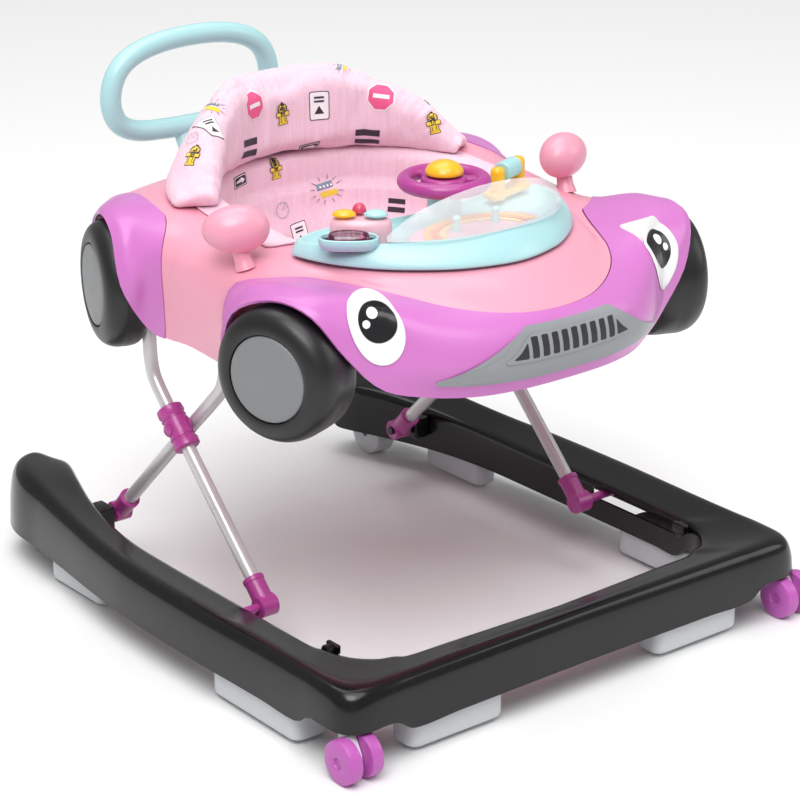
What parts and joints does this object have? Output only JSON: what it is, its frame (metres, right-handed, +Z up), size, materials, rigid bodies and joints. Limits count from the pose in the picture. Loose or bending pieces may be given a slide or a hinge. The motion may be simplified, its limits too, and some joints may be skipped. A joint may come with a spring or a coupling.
{
  "type": "baby walker",
  "caption": "Car-shaped baby walker: folding scissor frame on a wheeled floor base, tray with fabric seat, lift-off toy tray, steering wheel and rear push handle.",
  "frame": {"origin": "floor level, at the middle of the overall width and length", "axes": "+Z up, -Y towards the car's nose (the way the child walks), +X to the right when the nose is seen from the front"},
  "size_m": [0.668, 0.7584, 0.5985],
  "materials": {
    "base_black": "gloss black",
    "pad_white": "satin grey-white",
    "caster_white": "satin white",
    "magenta": "satin magenta",
    "tube_steel": "painted warm light grey",
    "body_pink": "gloss pink",
    "fender_orchid": "gloss orchid",
    "teal": "gloss pale teal",
    "tyre_black": "satin black",
    "cap_grey": "satin grey",
    "eye_white": "gloss white with a printed black pupil",
    "yellow": "gloss yellow",
    "red": "gloss red",
    "berry_clear": "translucent berry",
    "screen_clear": "frosted clear",
    "seat_fabric": "pale pink printed woven fabric"
  },
  "bodies": {
    "base": {"base_shell": "base_black", "pad_front_right": "pad_white", "pad_rail_right": "pad_white", "pad_tail_right": "pad_white", "foot_bracket_right": "base_black", "slot_stop_right": "base_black", "pad_front_left": "pad_white", "pad_rail_left": "pad_white", "pad_tail_left": "pad_white", "foot_bracket_left": "base_black", "slot_stop_left": "base_black"},
    "caster_right": {"caster_fork_right": "caster_white"},
    "caster_wheels_right": {"caster_wheel_right": "magenta"},
    "roller_right": {"rear_roller_right": "pad_white"},
    "inner_frame_right": {"inner_tube_right": "tube_steel", "inner_foot_right": "magenta"},
    "outer_frame_right": {"outer_tube_right": "tube_steel", "outer_foot_right": "magenta", "hub_clamp_right": "magenta"},
    "caster_left": {"caster_fork_left": "caster_white"},
    "caster_wheels_left": {"caster_wheel_left": "magenta"},
    "roller_left": {"rear_roller_left": "pad_white"},
    "inner_frame_left": {"inner_tube_left": "tube_steel", "inner_foot_left": "magenta"},
    "outer_frame_left": {"outer_tube_left": "tube_steel", "outer_foot_left": "magenta", "hub_clamp_left": "magenta"},
    "tray": {"body_shell": "body_pink", "tray_pan": "body_pink", "front_fender": "fender_orchid", "grille": "cap_grey", "push_handle": "teal", "seat_bolster": "seat_fabric", "seat_sling": "seat_fabric", "rear_fender_right": "fender_orchid", "tyre_front_right": "tyre_black", "tyre_rear_right": "tyre_black", "hubcap_front_right": "cap_grey", "hubcap_rear_right": "cap_grey", "eye_right": "eye_white", "mirror_right": "body_pink", "rear_fender_left": "fender_orchid", "tyre_front_left": "tyre_black", "tyre_rear_left": "tyre_black", "hubcap_front_left": "cap_grey", "hubcap_rear_left": "cap_grey", "eye_left": "eye_white", "mirror_left": "body_pink"},
    "toy_tray": {"toy_tray_base": "teal", "windshield": "screen_clear", "console_pod": "magenta", "key_bracket": "yellow"},
    "steering": {"steering_wheel": "magenta"},
    "horn": {"horn_button": "yellow"},
    "yellow_push": {"button_yellow": "yellow"},
    "teal_push": {"button_teal": "teal"},
    "red_push": {"button_red": "red"},
    "beads": {"bead_roller": "berry_clear"},
    "key_barrel": {"key_roller": "teal"}
  },
  "joints": [
    {"name": "fold", "type": "hinge", "parent": "base", "child": "inner_frame_left", "pos_m": [-0.21, 0.2272, 0.072], "axis": [1, 0, 0], "range_deg": [0, 32]},
    {"name": "fold_right", "type": "hinge", "parent": "base", "child": "inner_frame_right", "pos_m": [0.21, 0.2272, 0.072], "axis": [1, 0, 0], "range_deg": [0, 32]},
    {"name": "scissor_left", "type": "hinge", "parent": "inner_frame_left", "child": "outer_frame_left", "pos_m": [-0.23, 0.0672, 0.23], "axis": [1, 0, 0], "range_deg": [-64, 0]},
    {"name": "scissor_right", "type": "hinge", "parent": "inner_frame_right", "child": "outer_frame_right", "pos_m": [0.23, 0.0672, 0.23], "axis": [1, 0, 0], "range_deg": [-64, 0]},
    {"name": "tray_level", "type": "hinge", "parent": "outer_frame_left", "child": "tray", "pos_m": [-0.23, 0.1332, 0.365], "axis": [1, 0, 0], "range_deg": [0, 32]},
    {"name": "caster_swivel_right", "type": "hinge", "parent": "base", "child": "caster_right", "pos_m": [0.312, -0.3448, 0.06], "axis": [0, 0, 1], "continuous": true},
    {"name": "caster_roll_right", "type": "hinge", "parent": "caster_right", "child": "caster_wheels_right", "pos_m": [0.312, -0.3558, 0.024], "axis": [1, 0, 0], "continuous": true},
    {"name": "rear_roll_right", "type": "hinge", "parent": "base", "child": "roller_right", "pos_m": [0.25, 0.3292, 0.028], "axis": [1, 0, 0], "continuous": true},
    {"name": "caster_swivel_left", "type": "hinge", "parent": "base", "child": "caster_left", "pos_m": [-0.312, -0.3448, 0.06], "axis": [0, 0, 1], "continuous": true},
    {"name": "caster_roll_left", "type": "hinge", "parent": "caster_left", "child": "caster_wheels_left", "pos_m": [-0.312, -0.3558, 0.024], "axis": [1, 0, 0], "continuous": true},
    {"name": "rear_roll_left", "type": "hinge", "parent": "base", "child": "roller_left", "pos_m": [-0.25, 0.3292, 0.028], "axis": [1, 0, 0], "continuous": true},
    {"name": "toy_tray_lift", "type": "slide", "parent": "tray", "child": "toy_tray", "axis": [0, 0, 1], "range_m": [0, 0.06]},
    {"name": "steer", "type": "hinge", "parent": "toy_tray", "child": "steering", "pos_m": [0, -0.1148, 0.514], "axis": [0, 0, 1], "continuous": true},
    {"name": "horn_press", "type": "slide", "parent": "steering", "child": "horn", "axis": [0, 0, -1], "range_m": [0, 0.003], "stiffness_N_per_m": 400, "springref_m": -0.002},
    {"name": "yellow_press", "type": "slide", "parent": "toy_tray", "child": "yellow_push", "axis": [0, 0, -1], "range_m": [0, 0.003], "stiffness_N_per_m": 400, "springref_m": -0.002},
    {"name": "teal_press", "type": "slide", "parent": "toy_tray", "child": "teal_push", "axis": [0, 0, -1], "range_m": [0, 0.003], "stiffness_N_per_m": 400, "springref_m": -0.002},
    {"name": "red_press", "type": "slide", "parent": "toy_tray", "child": "red_push", "axis": [0, 0, -1], "range_m": [0, 0.003], "stiffness_N_per_m": 400, "springref_m": -0.002},
    {"name": "bead_spin", "type": "hinge", "parent": "toy_tray", "child": "beads", "pos_m": [-0.148, -0.1388, 0.481], "axis": [0.7828, -0.6222, 0], "continuous": true},
    {"name": "key_spin", "type": "hinge", "parent": "toy_tray", "child": "key_barrel", "pos_m": [0.116, -0.0848, 0.5], "axis": [0.9224, 0.3861, 0], "continuous": true}
  ],
  "couplings": [
    {"joint": "fold_right", "follows": "fold", "ratio": 1},
    {"joint": "scissor_left", "follows": "fold", "ratio": -2},
    {"joint": "scissor_right", "follows": "fold", "ratio": -2},
    {"joint": "tray_level", "follows": "fold", "ratio": 1}
  ]
}
